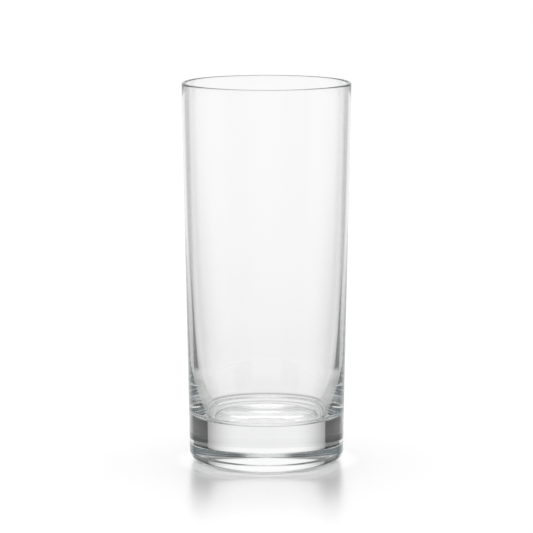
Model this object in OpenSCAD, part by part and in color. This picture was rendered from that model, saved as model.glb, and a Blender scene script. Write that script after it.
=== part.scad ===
// Highball glass: one piece of clear soda-lime glass, turned about the Z axis.
// The origin is the middle of the ring that touches the table, and +Z points up.

/* [Outside] */
// Overall height, from the table to the top of the lip
glass_h = 149; // [120:1:180]
// Outside diameter at the lip
rim_d = 66; // [62:0.5:74]
// Outside diameter at the heel, where the side starts to turn under
foot_d = 60.3; // [54:0.1:66]
// Radius of the rounded heel between the side and the table
heel_r = 4.6; // [2:0.1:8]

/* [Inside] */
// Wall thickness at the lip, which is rounded to a full half circle
lip_t = 1.45; // [1:0.05:2.2]
// Height above the table where the wall starts to thicken towards the base
swell_h = 97; // [80:1:110]
// Wall thickness at that height; the inside is straight from there to the lip
swell_t = 1.6; // [1:0.05:2.4]
// Radius of the long curve that thickens the wall below that height
swell_r = 1000; // [800:10:2000]
// Height above the table where the tighter knee curve takes over from the long one
knee_h = 40; // [32:1:48]
// Radius of the knee curve, which thickens the foot of the wall
knee_r = 130; // [100:5:200]
// Radius of the corner between the inside wall and the inside floor
floor_curve_r = 3; // [2:0.5:6]
// Thickness of the solid base, from the table to the inside floor
base_t = 17.8; // [10:0.1:24]

/* [Underside] */
// Width of the flat ring that touches the table
ring_w = 1.4; // [0.8:0.1:3]
// Height of the flat roof of the hollow under the base
punt_h = 1.1; // [0.4:0.1:1.6]
// Width, seen from below, of the rounded step between the ring and that roof
punt_step_w = 1.65; // [1.6:0.05:4]

/* [Hidden] */
// Steps round the glass, and steps along each curve of its half section
turn_steps = 180;
heel_steps = 24;
lip_steps = 24;
swell_steps = 12;
knee_steps = 12;
floor_steps = 16;
punt_steps = 6;
glass_colour = [0.86, 0.92, 0.92, 0.5];

// Where a circle is met by the line from its centre in one direction
function on_circle(centre, radius, angle) = centre + radius * [cos(angle), sin(angle)];

// Points along a circle, from one direction round to another
function arc(centre, radius, from, to, steps) =
    [for (i = [0 : steps]) on_circle(centre, radius, from + (to - from) * i / steps)];

// An arc's points without its last one, where the next arc starts on it
function all_but_last(points) = [for (i = [0 : len(points) - 2]) points[i]];

// Direction, square to the line, of the straight line that touches two circles from outside;
// a negative radius puts the line on the circle's inner side, and a zero radius on its centre
function line_normal(low_centre, low_radius, high_centre, high_radius) =
    let (run = high_centre - low_centre)
    atan2(run.y, run.x) - 90 + asin((low_radius - high_radius) / norm(run));

// Lip and heel circles, and the side between them
lip_r = lip_t / 2;
lip_c = [rim_d / 2 - lip_r, glass_h - lip_r];
heel_c = [foot_d / 2 - heel_r, heel_r];
side_n = line_normal(heel_c, heel_r, lip_c, lip_r);
side_low = on_circle(heel_c, heel_r, side_n);

// Outside radius of the side at a height above the table
function side_radius(height) = side_low.x - (height - side_low.y) * tan(side_n);

// Inside wall: straight from the lip down to swell_h, where the long curve starts
bore_low = [side_radius(swell_h) - swell_t, swell_h];
bore_n = line_normal(bore_low, 0, lip_c, -lip_r);
swell_c = on_circle(bore_low, swell_r, 180 + bore_n);

// Knee curve: goes on from the long curve without a corner
knee_n = asin((knee_h - swell_c.y) / swell_r);
knee_c = on_circle(on_circle(swell_c, swell_r, knee_n), knee_r, 180 + knee_n);

// Corner curve: touches the inside floor, and touches the knee curve from its inner side
floor_c_y = base_t + floor_curve_r;
floor_c_run = sqrt(pow(knee_r - floor_curve_r, 2) - pow(knee_c.y - floor_c_y, 2));
floor_c = [knee_c.x + floor_c_run, floor_c_y];
join_n = atan2(floor_c.y - knee_c.y, floor_c.x - knee_c.x);

// Hollow under the base: a flat roof, and two equal curves that step down to the ring
punt_edge_r = heel_c.x - ring_w;
punt_roof_r = punt_edge_r - punt_step_w;
punt_turn = 2 * atan(punt_h / punt_step_w);
punt_curve_r = punt_step_w / (2 * sin(punt_turn));
punt_roof_c = [punt_roof_r, punt_h - punt_curve_r];
punt_edge_c = [punt_edge_r, punt_curve_r];

// Half section of the glass, with its axis on the left: from the middle of the underside
// out to the heel, up the side, over the lip, and down the inside to the floor
module half_section() {
    polygon(concat(
        [[0, punt_h]],
        all_but_last(arc(punt_roof_c, punt_curve_r, 90, 90 - punt_turn, punt_steps)),
        arc(punt_edge_c, punt_curve_r, -90 - punt_turn, -90, punt_steps),
        arc(heel_c, heel_r, -90, side_n, heel_steps),
        arc(lip_c, lip_r, side_n, 180 + bore_n, lip_steps),
        all_but_last(arc(swell_c, swell_r, bore_n, knee_n, swell_steps)),
        all_but_last(arc(knee_c, knee_r, knee_n, join_n, knee_steps)),
        arc(floor_c, floor_curve_r, join_n, -90, floor_steps),
        [[0, base_t]]
    ));
}

// The whole glass: thick base, thin wall and fire-polished lip in one piece
module tumbler() {
    color(glass_colour) rotate_extrude($fn = turn_steps) half_section();
}

tumbler();
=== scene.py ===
import math

import bmesh
import bpy
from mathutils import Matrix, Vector


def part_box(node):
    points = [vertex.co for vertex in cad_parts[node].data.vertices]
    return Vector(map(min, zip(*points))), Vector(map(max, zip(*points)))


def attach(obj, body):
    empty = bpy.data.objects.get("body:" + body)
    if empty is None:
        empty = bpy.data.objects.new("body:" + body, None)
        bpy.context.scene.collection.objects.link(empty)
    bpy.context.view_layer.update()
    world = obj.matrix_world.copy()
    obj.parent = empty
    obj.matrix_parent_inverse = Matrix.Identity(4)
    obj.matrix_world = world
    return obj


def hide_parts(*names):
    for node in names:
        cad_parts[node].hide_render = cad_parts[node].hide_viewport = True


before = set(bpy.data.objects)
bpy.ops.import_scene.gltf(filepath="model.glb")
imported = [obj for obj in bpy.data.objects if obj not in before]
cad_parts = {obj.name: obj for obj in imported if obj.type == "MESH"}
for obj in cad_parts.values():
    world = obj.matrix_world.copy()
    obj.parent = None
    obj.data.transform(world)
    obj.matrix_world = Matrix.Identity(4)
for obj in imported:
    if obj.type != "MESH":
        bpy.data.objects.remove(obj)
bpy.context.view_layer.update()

# Tumbler: the whole glass, one gob of clear soda-lime glass pressed and blown in a mould. The outside is
# a straight taper, the inside swells into a thick base with a shallow flat-roofed hollow under it, and
# the lip is melted round by a flame. Its half section is drawn with one travelling point, then spun.
MM = 0.001
DEG = math.pi / 180
low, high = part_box("tumbler")
glass_h = high.z
rim_r = min(-low.x, high.x, -low.y, high.y)
lip_t = 1.45 * MM
foot_d = 60.3 * MM
heel_r = 4.6 * MM
swell_h = 97 * MM
swell_t = 1.6 * MM
swell_r = 1000 * MM
knee_h = 40 * MM
knee_r = 130 * MM
corner_r = 3 * MM
base_t = 17.8 * MM
ring_w = 1.4 * MM
punt_h = 1.1 * MM
punt_step_w = 1.65 * MM
same_point = 0.001 * MM

# Steps round the glass, and along each stretch of its half section
turn_steps = 288
punt_steps = 12
heel_steps = 32
side_steps = 24
lip_steps = 24
bore_steps = 12
swell_steps = 24
knee_steps = 20
corner_steps = 32
floor_steps = 24


# Where a circle is met by the line from its centre in one direction
def on_circle(centre, radius, angle):
    return centre + radius * Vector((math.cos(angle), math.sin(angle)))


# Direction square to the straight line that touches a low and a high circle from outside
def line_normal(low_centre, low_radius, high_centre, high_radius):
    run = high_centre - low_centre
    return math.atan2(run.y, run.x) - 90 * DEG + math.asin((low_radius - high_radius) / run.length)


# Lip and heel circles, and the side between them
lip_r = lip_t / 2
lip_c = Vector((rim_r - lip_r, glass_h - lip_r))
heel_c = Vector((foot_d / 2 - heel_r, heel_r))
side_n = line_normal(heel_c, heel_r, lip_c, lip_r)
side_low = on_circle(heel_c, heel_r, side_n)
side_high = on_circle(lip_c, lip_r, side_n)

# Inside: a straight bore, then the swell, the knee and the corner, each going on from the one before
bore_low = Vector((side_low.x - (swell_h - side_low.y) * math.tan(side_n) - swell_t, swell_h))
bore_n = line_normal(bore_low, 0, lip_c, -lip_r)
swell_c = on_circle(bore_low, swell_r, 180 * DEG + bore_n)
knee_n = math.asin((knee_h - swell_c.y) / swell_r)
knee_c = on_circle(on_circle(swell_c, swell_r, knee_n), knee_r, 180 * DEG + knee_n)
corner_y = base_t + corner_r
corner_run = math.sqrt((knee_r - corner_r) ** 2 - (knee_c.y - corner_y) ** 2)
corner_c = Vector((knee_c.x + corner_run, corner_y))
corner_n = math.atan2(corner_c.y - knee_c.y, corner_c.x - knee_c.x)

# Underside: a flat ring, and two equal curves that step up to the roof of the hollow
ring_in = heel_c.x - ring_w
punt_roof_r = ring_in - punt_step_w
punt_turn = 2 * math.atan(punt_h / punt_step_w)
punt_r = punt_step_w / (2 * math.sin(punt_turn))

mesh = bpy.data.meshes.new("tumbler_glass")
bm = bmesh.new()
point = bm.verts.new((0, 0, punt_h))


# The point goes on along a circle, and the arc behind it becomes part of the half section
def go_round(point, centre, turn, steps):
    arc = bmesh.ops.spin(bm, geom=[point], cent=(centre.x, 0, centre.y), axis=(0, -1, 0),
                         angle=turn, steps=steps)
    return arc["geom_last"][0]


# The point goes on in a straight line, in equal short lengths
def go_straight(point, x, z, lengths):
    start = point.co.copy()
    for i in range(lengths):
        point = bmesh.ops.extrude_vert_indiv(bm, verts=[point])["verts"][0]
        point.co = start.lerp(Vector((x, 0, z)), (i + 1) / lengths)
    return point


# From the middle of the underside out to the heel, up the side, over the lip and down to the inside floor
point = go_straight(point, punt_roof_r, punt_h, 1)
point = go_round(point, Vector((punt_roof_r, punt_h - punt_r)), -punt_turn, punt_steps)
point = go_round(point, Vector((ring_in, punt_r)), punt_turn, punt_steps)
point = go_straight(point, heel_c.x, 0, 1)
point = go_round(point, heel_c, side_n + 90 * DEG, heel_steps)
point = go_straight(point, side_high.x, side_high.y, side_steps)
point = go_round(point, lip_c, 180 * DEG + bore_n - side_n, lip_steps)
point = go_straight(point, bore_low.x, bore_low.y, bore_steps)
point = go_round(point, swell_c, knee_n - bore_n, swell_steps)
point = go_round(point, knee_c, corner_n - knee_n, knee_steps)
point = go_round(point, corner_c, -90 * DEG - corner_n, corner_steps)
go_straight(point, 0, base_t, floor_steps)
bmesh.ops.spin(bm, geom=bm.verts[:] + bm.edges[:], cent=(0, 0, 0), axis=(0, 0, 1), angle=360 * DEG,
               steps=turn_steps, use_merge=True)
bmesh.ops.remove_doubles(bm, verts=bm.verts, dist=same_point)
bmesh.ops.recalc_face_normals(bm, faces=bm.faces)
for face in bm.faces:
    face.smooth = True
bm.to_mesh(mesh)
bm.free()
tumbler = bpy.data.objects.new("tumbler_glass", mesh)
bpy.context.scene.collection.objects.link(tumbler)


# One colour, from sRGB hex to linear
def linear(code):
    parts = [int(code[i:i + 2], 16) / 255 for i in (1, 3, 5)]
    return (*[p / 12.92 if p <= 0.04045 else ((p + 0.055) / 1.055) ** 2.4 for p in parts], 1.0)


# Adds one node with its settings, and fills its inputs with sockets or values
def add(tree, kind, settings={}, links={}):
    made = tree.nodes.new(kind)
    for name, value in settings.items():
        setattr(made, name, value)
    for name, value in links.items():
        if isinstance(value, bpy.types.NodeSocket):
            tree.links.new(value, made.inputs[name])
        else:
            made.inputs[name].default_value = value
    return made


# Soda-lime glass, IOR 1.52, its skin flowed smooth in the flame. The trace of iron in it takes a little
# red away, so that the thick base looks faintly cool and the thin wall colourless.
glass = bpy.data.materials.new("clear_soda_lime_glass")
glass.use_nodes = True
tree = glass.node_tree
tree.nodes.clear()
skin = add(tree, "ShaderNodeBsdfPrincipled", {}, {
    "Base Color": linear("#ffffff"), "Roughness": 0.0, "IOR": 1.52, "Transmission Weight": 1.0})
body = add(tree, "ShaderNodeVolumeAbsorption", {}, {"Color": linear("#bfe6df"), "Density": 0.3})
add(tree, "ShaderNodeOutputMaterial", {}, {"Surface": skin.outputs[0], "Volume": body.outputs[0]})
mesh.materials.append(glass)
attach(tumbler, "root")
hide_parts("tumbler")

# Studio: a white room for the camera and for matt surfaces. Rays that the glass has bent or mirrored find
# what stands in such a room instead: a lit panel behind the glass with black flags close on both sides,
# which draw the dark lines in its wall and base, smaller panels round about, dim walls and a ceiling.
world = bpy.data.worlds.new("studio")
bpy.context.scene.world = world
world.use_nodes = True
tree = world.node_tree
tree.nodes.clear()

# Degrees from a panel's middle to its flags, and to where its pool and its rim of light fade
panel_reach = 38.6
small_reach = 27.0
flag_blur = 0.4
pool_start, pool_end = 14.0, 54.0
rim_start, rim_end = 31.0, 37.0

# The share of light left at a pool's end, and the tilt above which the light is drawn in, and how fast
pool_left = 0.67
narrow_tilt = 15.0
narrow_rate = 1.5

# How bright the walls and the ceiling are, as shares of the panel
low_light = 0.19
front_light = 0.6
back_light = 0.33
upper_light = 0.62
low_ceiling_light = 0.04
ceiling_light = 0.4
least_light = 0.012


# 1 for a ray that has gone through the glass or comes from a perfect mirror, otherwise 0
def met_glass(tree):
    path = add(tree, "ShaderNodeLightPath")
    either = add(tree, "ShaderNodeMath", {"operation": "ADD"}, {
        0: path.outputs["Transmission Depth"], 1: path.outputs["Is Singular Ray"]})
    return add(tree, "ShaderNodeMath", {"operation": "GREATER_THAN"}, {
        0: either.outputs[0], 1: 0.5}).outputs[0]


direction = add(tree, "ShaderNodeTexCoord").outputs["Generated"]
split = add(tree, "ShaderNodeSeparateXYZ", {}, {0: direction})
slope = add(tree, "ShaderNodeMath", {"operation": "ARCSINE"}, {0: split.outputs["Z"]})
tilt = add(tree, "ShaderNodeMath", {"operation": "DEGREES"}, {0: slope.outputs[0]}).outputs[0]
flat = add(tree, "ShaderNodeVectorMath", {"operation": "MULTIPLY"}, {0: direction, 1: (1, 1, 0)})
level = add(tree, "ShaderNodeVectorMath", {"operation": "NORMALIZE"}, {0: flat.outputs[0]}).outputs[0]

# The higher up a ray looks, the further the light on a panel is drawn in towards its middle
over = add(tree, "ShaderNodeMath", {"operation": "SUBTRACT"}, {0: tilt, 1: narrow_tilt})
rise = add(tree, "ShaderNodeMath", {"operation": "MAXIMUM"}, {0: over.outputs[0], 1: 0.0})
drawn_in = add(tree, "ShaderNodeMath", {"operation": "MULTIPLY"}, {
    0: rise.outputs[0], 1: narrow_rate}).outputs[0]


# Degrees between a ray's bearing and another one; the bearing 0 is straight behind the glass
def bearing_from(bearing):
    along = add(tree, "ShaderNodeVectorMath", {"operation": "DOT_PRODUCT"}, {
        0: level, 1: (math.sin(bearing * DEG), math.cos(bearing * DEG), 0)})
    angle = add(tree, "ShaderNodeMath", {"operation": "ARCCOSINE"}, {0: along.outputs["Value"]})
    return add(tree, "ShaderNodeMath", {"operation": "DEGREES"}, {0: angle.outputs[0]}).outputs[0]


# A lit panel: a lamp's pool of light in its middle, a rim that keeps the share edge of it, and a flag on
# each side that cuts it off. A panel that keeps all of it at the rim has a pool that fades out instead.
def lit_panel(bearing, reach, edge=0.25):
    away = bearing_from(bearing)
    narrowed = add(tree, "ShaderNodeMath", {"operation": "ADD"}, {0: away, 1: drawn_in}).outputs[0]
    pool = add(tree, "ShaderNodeMapRange", {"interpolation_type": "SMOOTHSTEP"}, {
        "Value": narrowed, "From Min": pool_start, "From Max": pool_end,
        "To Min": 1.0, "To Max": (1 - edge) * pool_left})
    rim = add(tree, "ShaderNodeMapRange", {"interpolation_type": "SMOOTHSTEP"}, {
        "Value": narrowed, "From Min": rim_start, "From Max": rim_end, "To Min": 1.0, "To Max": edge})
    flag = add(tree, "ShaderNodeMapRange", {"interpolation_type": "SMOOTHSTEP"}, {
        "Value": away, "From Min": reach - flag_blur, "From Max": reach + flag_blur,
        "To Min": 1.0, "To Max": 0.0})
    soft = add(tree, "ShaderNodeMath", {"operation": "MULTIPLY"}, {0: pool.outputs[0], 1: rim.outputs[0]})
    return add(tree, "ShaderNodeMath", {"operation": "MULTIPLY"}, {
        0: soft.outputs[0], 1: flag.outputs[0]}).outputs[0]


# The brightest of several lights
def brightest(*lights):
    best = lights[0]
    for light in lights[1:]:
        best = add(tree, "ShaderNodeMath", {"operation": "MAXIMUM"}, {0: best, 1: light}).outputs[0]
    return best


# The panel behind, and the walls in front of the glass and high up beside it
behind = lit_panel(0, panel_reach)
low_behind = lit_panel(0, panel_reach, 1.0)
off_middle = bearing_from(0)
front_wall = add(tree, "ShaderNodeMapRange", {"interpolation_type": "SMOOTHSTEP"}, {
    "Value": off_middle, "From Min": 75.0, "From Max": 100.0,
    "To Min": 0.0, "To Max": front_light}).outputs[0]
upper = add(tree, "ShaderNodeMapRange", {"interpolation_type": "SMOOTHSTEP"}, {
    "Value": tilt, "From Min": 17.0, "From Max": 27.0, "To Min": 0.0, "To Max": upper_light}).outputs[0]
beside = add(tree, "ShaderNodeMapRange", {"interpolation_type": "SMOOTHSTEP"}, {
    "Value": off_middle, "From Min": 42.0, "From Max": 60.0}).outputs[0]
upper_wall = add(tree, "ShaderNodeMath", {"operation": "MULTIPLY"}, {0: upper, 1: beside}).outputs[0]

# The ceiling is dim, but fully lit for rays that have gone through more than two walls of the glass,
# which is more than four of its faces
path = add(tree, "ShaderNodeLightPath").outputs
deep = add(tree, "ShaderNodeMath", {"operation": "GREATER_THAN"}, {
    0: path["Transmission Depth"], 1: 4.5}).outputs[0]
low_ceiling = add(tree, "ShaderNodeMix", {"data_type": "FLOAT"}, {
    0: deep, 2: low_ceiling_light, 3: 1.0}).outputs[0]
ceiling = add(tree, "ShaderNodeMix", {"data_type": "FLOAT"}, {
    0: deep, 2: ceiling_light, 3: 1.0}).outputs[0]

# The room from the bottom up, in tiers that each take over between two tilts
light = brightest(low_behind, lit_panel(90, small_reach), lit_panel(-90, small_reach),
                  lit_panel(180, small_reach), low_light)
for bottom, top, tier in (
        (5.0, 7.0, brightest(low_behind, front_wall)),
        (10.8, 13.5, brightest(behind, lit_panel(135, panel_reach), front_wall)),
        (18.0, 24.0, brightest(behind, upper_wall, back_light)),
        (33.0, 43.0, low_ceiling),
        (66.0, 72.0, ceiling)):
    reached = add(tree, "ShaderNodeMapRange", {"interpolation_type": "SMOOTHSTEP"}, {
        "Value": tilt, "From Min": bottom, "From Max": top})
    light = add(tree, "ShaderNodeMix", {"data_type": "FLOAT"}, {
        0: reached.outputs[0], 2: light, 3: tier}).outputs[0]
light = brightest(light, least_light)
grey = add(tree, "ShaderNodeCombineColor", {}, {0: light, 1: light, 2: light}).outputs[0]

# Light that has gone round many times inside the thick glass comes out dim and cool, whatever it meets
trapped = add(tree, "ShaderNodeMapRange", {"interpolation_type": "SMOOTHSTEP"}, {
    "Value": path["Glossy Depth"], "From Min": 4.0, "From Max": 12.0,
    "To Min": 0.0, "To Max": 0.85}).outputs[0]
mixed = add(tree, "ShaderNodeMix", {"data_type": "RGBA"}, {
    0: trapped, 6: grey, 7: linear("#5f696b")}).outputs[2]
colour = add(tree, "ShaderNodeMix", {"data_type": "RGBA"}, {
    0: met_glass(tree), 6: linear("#ffffff"), 7: mixed}).outputs[2]
sky = add(tree, "ShaderNodeBackground", {}, {"Color": colour, "Strength": 1.0})
add(tree, "ShaderNodeOutputWorld", {}, {"Surface": sky.outputs[0]})

# Table: a wide sheet of cast white acrylic, level and a hair below the ring of the glass. The camera sees
# it matt, with a soft gloss near the glass and a painted glow under the base. Rays through the glass find
# it a mirror where they graze it, painted white light where they come down steeply or far from the glass,
# and painted shade close to the glass.
table_r = 6.0
table_gap = 0.05 * MM
table_sides = 64
foot_edge = 30 * MM
glow_end = 38 * MM
near_end = 80 * MM
far_start = 120 * MM
gloss_end = 130 * MM
open_start = 150 * MM
bm = bmesh.new()
bmesh.ops.create_circle(bm, cap_ends=True, radius=table_r, segments=table_sides)
bmesh.ops.translate(bm, verts=bm.verts, vec=(0, 0, -table_gap))
table_mesh = bpy.data.meshes.new("table_top")
bm.to_mesh(table_mesh)
bm.free()
table = bpy.data.objects.new("table_top", table_mesh)
bpy.context.scene.collection.objects.link(table)
acrylic = bpy.data.materials.new("gloss_white_acrylic")
acrylic.use_nodes = True
tree = acrylic.node_tree
tree.nodes.clear()
place = add(tree, "ShaderNodeTexCoord").outputs["Object"]
distance = add(tree, "ShaderNodeVectorMath", {"operation": "LENGTH"}, {0: place}).outputs["Value"]

# What the camera sees: matt white, brighter under the base from a painted glow that stands in for light
# the base gathers there, and a soft gloss
paint = add(tree, "ShaderNodeBsdfDiffuse", {}, {"Color": linear("#e6e6e6")})
top_up_and_painted_glow = add(tree, "ShaderNodeMapRange", {"interpolation_type": "SMOOTHSTEP"}, {
    "Value": distance, "From Min": foot_edge, "From Max": glow_end, "To Min": 0.45, "To Max": 0.2})
glow = add(tree, "ShaderNodeEmission", {}, {"Color": linear("#ffffff"), "Strength": top_up_and_painted_glow.outputs[0]})
white = add(tree, "ShaderNodeAddShader", {}, {0: paint.outputs[0], 1: glow.outputs[0]})
gloss = add(tree, "ShaderNodeBsdfGlossy", {}, {"Color": linear("#ffffff"), "Roughness": 0.25})
sheen = add(tree, "ShaderNodeMapRange", {"interpolation_type": "SMOOTHSTEP"}, {
    "Value": distance, "From Min": foot_edge, "From Max": gloss_end, "To Min": 0.6, "To Max": 0.1})
seen_plain = add(tree, "ShaderNodeMixShader", {}, {
    0: sheen.outputs[0], 1: white.outputs[0], 2: gloss.outputs[0]})

# What rays through the glass see: the share of white in each case, painted as a glow in place of lamp
# light on the sheet, and a mirror for the rest. All of it is a little darker close to the glass, a painted
# shade by a share that fades out with distance.
open_light = 0.96
glass_shade = 0.125
shade_reach = 200 * MM
fade = add(tree, "ShaderNodeMath", {"operation": "MULTIPLY"}, {0: distance, 1: -1 / shade_reach})
shade = add(tree, "ShaderNodeMath", {"operation": "EXPONENT"}, {0: fade.outputs[0]})
total = add(tree, "ShaderNodeMath", {"operation": "MULTIPLY_ADD"}, {
    0: shade.outputs[0], 1: -glass_shade, 2: open_light})
facing = add(tree, "ShaderNodeLayerWeight", {}, {"Blend": 0.5}).outputs["Facing"]

# Painted light: white where a ray comes down at a steep slope, and less so far from the glass
steep = add(tree, "ShaderNodeMapRange", {"interpolation_type": "SMOOTHSTEP"}, {
    "Value": facing, "From Min": 0.5, "From Max": 0.72, "To Min": 0.42, "To Max": 0.07})
apart = add(tree, "ShaderNodeMapRange", {"interpolation_type": "SMOOTHSTEP"}, {
    "Value": distance, "From Min": near_end, "From Max": far_start, "To Min": 1.0, "To Max": 0.45})
shaded = add(tree, "ShaderNodeMath", {"operation": "MULTIPLY"}, {0: steep.outputs[0], 1: apart.outputs[0]})

# Painted light: white on all sides but straight behind the glass, and the more so with distance
spot = add(tree, "ShaderNodeVectorMath", {"operation": "NORMALIZE"}, {0: place})
back = add(tree, "ShaderNodeSeparateXYZ", {}, {0: spot.outputs[0]})
side = add(tree, "ShaderNodeMapRange", {"interpolation_type": "SMOOTHSTEP"}, {
    "Value": back.outputs["Y"], "From Min": math.cos(60 * DEG), "From Max": math.cos(40 * DEG),
    "To Min": 1.0, "To Max": 0.0})
grown = add(tree, "ShaderNodeMath", {"operation": "POWER"}, {0: distance, 1: 0.6})
away = add(tree, "ShaderNodeMath", {"operation": "MULTIPLY"}, {0: grown.outputs[0], 1: 0.72})
capped = add(tree, "ShaderNodeMath", {"operation": "MINIMUM"}, {0: away.outputs[0], 1: 0.8})
open_side = add(tree, "ShaderNodeMath", {"operation": "MULTIPLY"}, {
    0: side.outputs[0], 1: capped.outputs[0]})

# Painted light: white where a ray of middling slope meets it clear of the glass
down = add(tree, "ShaderNodeMapRange", {"interpolation_type": "SMOOTHSTEP"}, {
    "Value": facing, "From Min": 0.62, "From Max": 0.68, "To Min": 1.0, "To Max": 0.0})
not_under = add(tree, "ShaderNodeMapRange", {"interpolation_type": "SMOOTHSTEP"}, {
    "Value": facing, "From Min": 0.46, "From Max": 0.53})
sloping = add(tree, "ShaderNodeMath", {"operation": "MULTIPLY"}, {
    0: down.outputs[0], 1: not_under.outputs[0]})
clear_of_glass = add(tree, "ShaderNodeMapRange", {"interpolation_type": "SMOOTHSTEP"}, {
    "Value": distance, "From Min": foot_edge, "From Max": open_start, "To Min": 0.0, "To Max": 0.88})
open_top = add(tree, "ShaderNodeMath", {"operation": "MULTIPLY"}, {
    0: sloping.outputs[0], 1: clear_of_glass.outputs[0]})

# Painted light: white close to the glass where a ray comes nearly straight down
from_above = add(tree, "ShaderNodeMapRange", {"interpolation_type": "SMOOTHSTEP"}, {
    "Value": facing, "From Min": 0.22, "From Max": 0.4, "To Min": 0.85, "To Max": 0.0})
near = add(tree, "ShaderNodeMapRange", {"interpolation_type": "SMOOTHSTEP"}, {
    "Value": distance, "From Min": near_end, "From Max": far_start, "To Min": 1.0, "To Max": 0.0})
beneath = add(tree, "ShaderNodeMath", {"operation": "MULTIPLY"}, {
    0: near.outputs[0], 1: from_above.outputs[0]})

# The whitest case counts, as the share of painted light
lifted = add(tree, "ShaderNodeMath", {"operation": "MAXIMUM"}, {
    0: shaded.outputs[0], 1: open_side.outputs[0]})
above = add(tree, "ShaderNodeMath", {"operation": "MAXIMUM"}, {
    0: beneath.outputs[0], 1: open_top.outputs[0]})
painted_light_share = add(tree, "ShaderNodeMath", {"operation": "MAXIMUM"}, {
    0: lifted.outputs[0], 1: above.outputs[0]}).outputs[0]
rest = add(tree, "ShaderNodeMath", {"operation": "SUBTRACT"}, {0: total.outputs[0], 1: painted_light_share}).outputs[0]
tone = add(tree, "ShaderNodeCombineColor", {}, {0: rest, 1: rest, 2: rest})
mirror = add(tree, "ShaderNodeBsdfGlossy", {}, {"Color": tone.outputs[0], "Roughness": 0.0})
# Painted light: the sheet glows white by that share, though no lamp lights it there
painted_white_glow = add(tree, "ShaderNodeEmission", {}, {"Color": linear("#ffffff"), "Strength": painted_light_share})
seen_in_glass = add(tree, "ShaderNodeAddShader", {}, {0: mirror.outputs[0], 1: painted_white_glow.outputs[0]})
either = add(tree, "ShaderNodeMixShader", {}, {
    0: met_glass(tree), 1: seen_plain.outputs[0], 2: seen_in_glass.outputs[0]})
add(tree, "ShaderNodeOutputMaterial", {}, {"Surface": either.outputs[0]})
table_mesh.materials.append(acrylic)

# Softbox: one large lamp above and a little behind, for a soft shadow under the glass. Light is followed
# through many reflections, because much of it goes round inside the heel before it comes out.
most_turns = 96
lamp = bpy.data.lights.new("softbox", "AREA")
lamp.energy = 4
lamp.size = 1.2
softbox = bpy.data.objects.new("softbox", lamp)
softbox.location = (0, 0.3, 1.6)
bpy.context.scene.collection.objects.link(softbox)
paths = bpy.context.scene.cycles
paths.max_bounces = paths.transmission_bounces = paths.glossy_bounces = most_turns

# Camera: a long lens a little above the lip and well over a metre away, aimed at the middle of the glass,
# so that the glass is seen nearly without perspective
lens = bpy.data.cameras.new("camera")
lens.lens = 236.4
lens.sensor_width = 36
lens.clip_end = 100
camera = bpy.data.objects.new("camera", lens)
bpy.context.scene.collection.objects.link(camera)
reach, pitch, aim = 1.3675, 8.21 * DEG, 0.07677
camera.location = (0, -reach * math.cos(pitch), aim + reach * math.sin(pitch))
camera.rotation_euler = (90 * DEG - pitch, 0, 0)
bpy.context.scene.camera = camera
bpy.context.scene.view_settings.view_transform = "Standard"
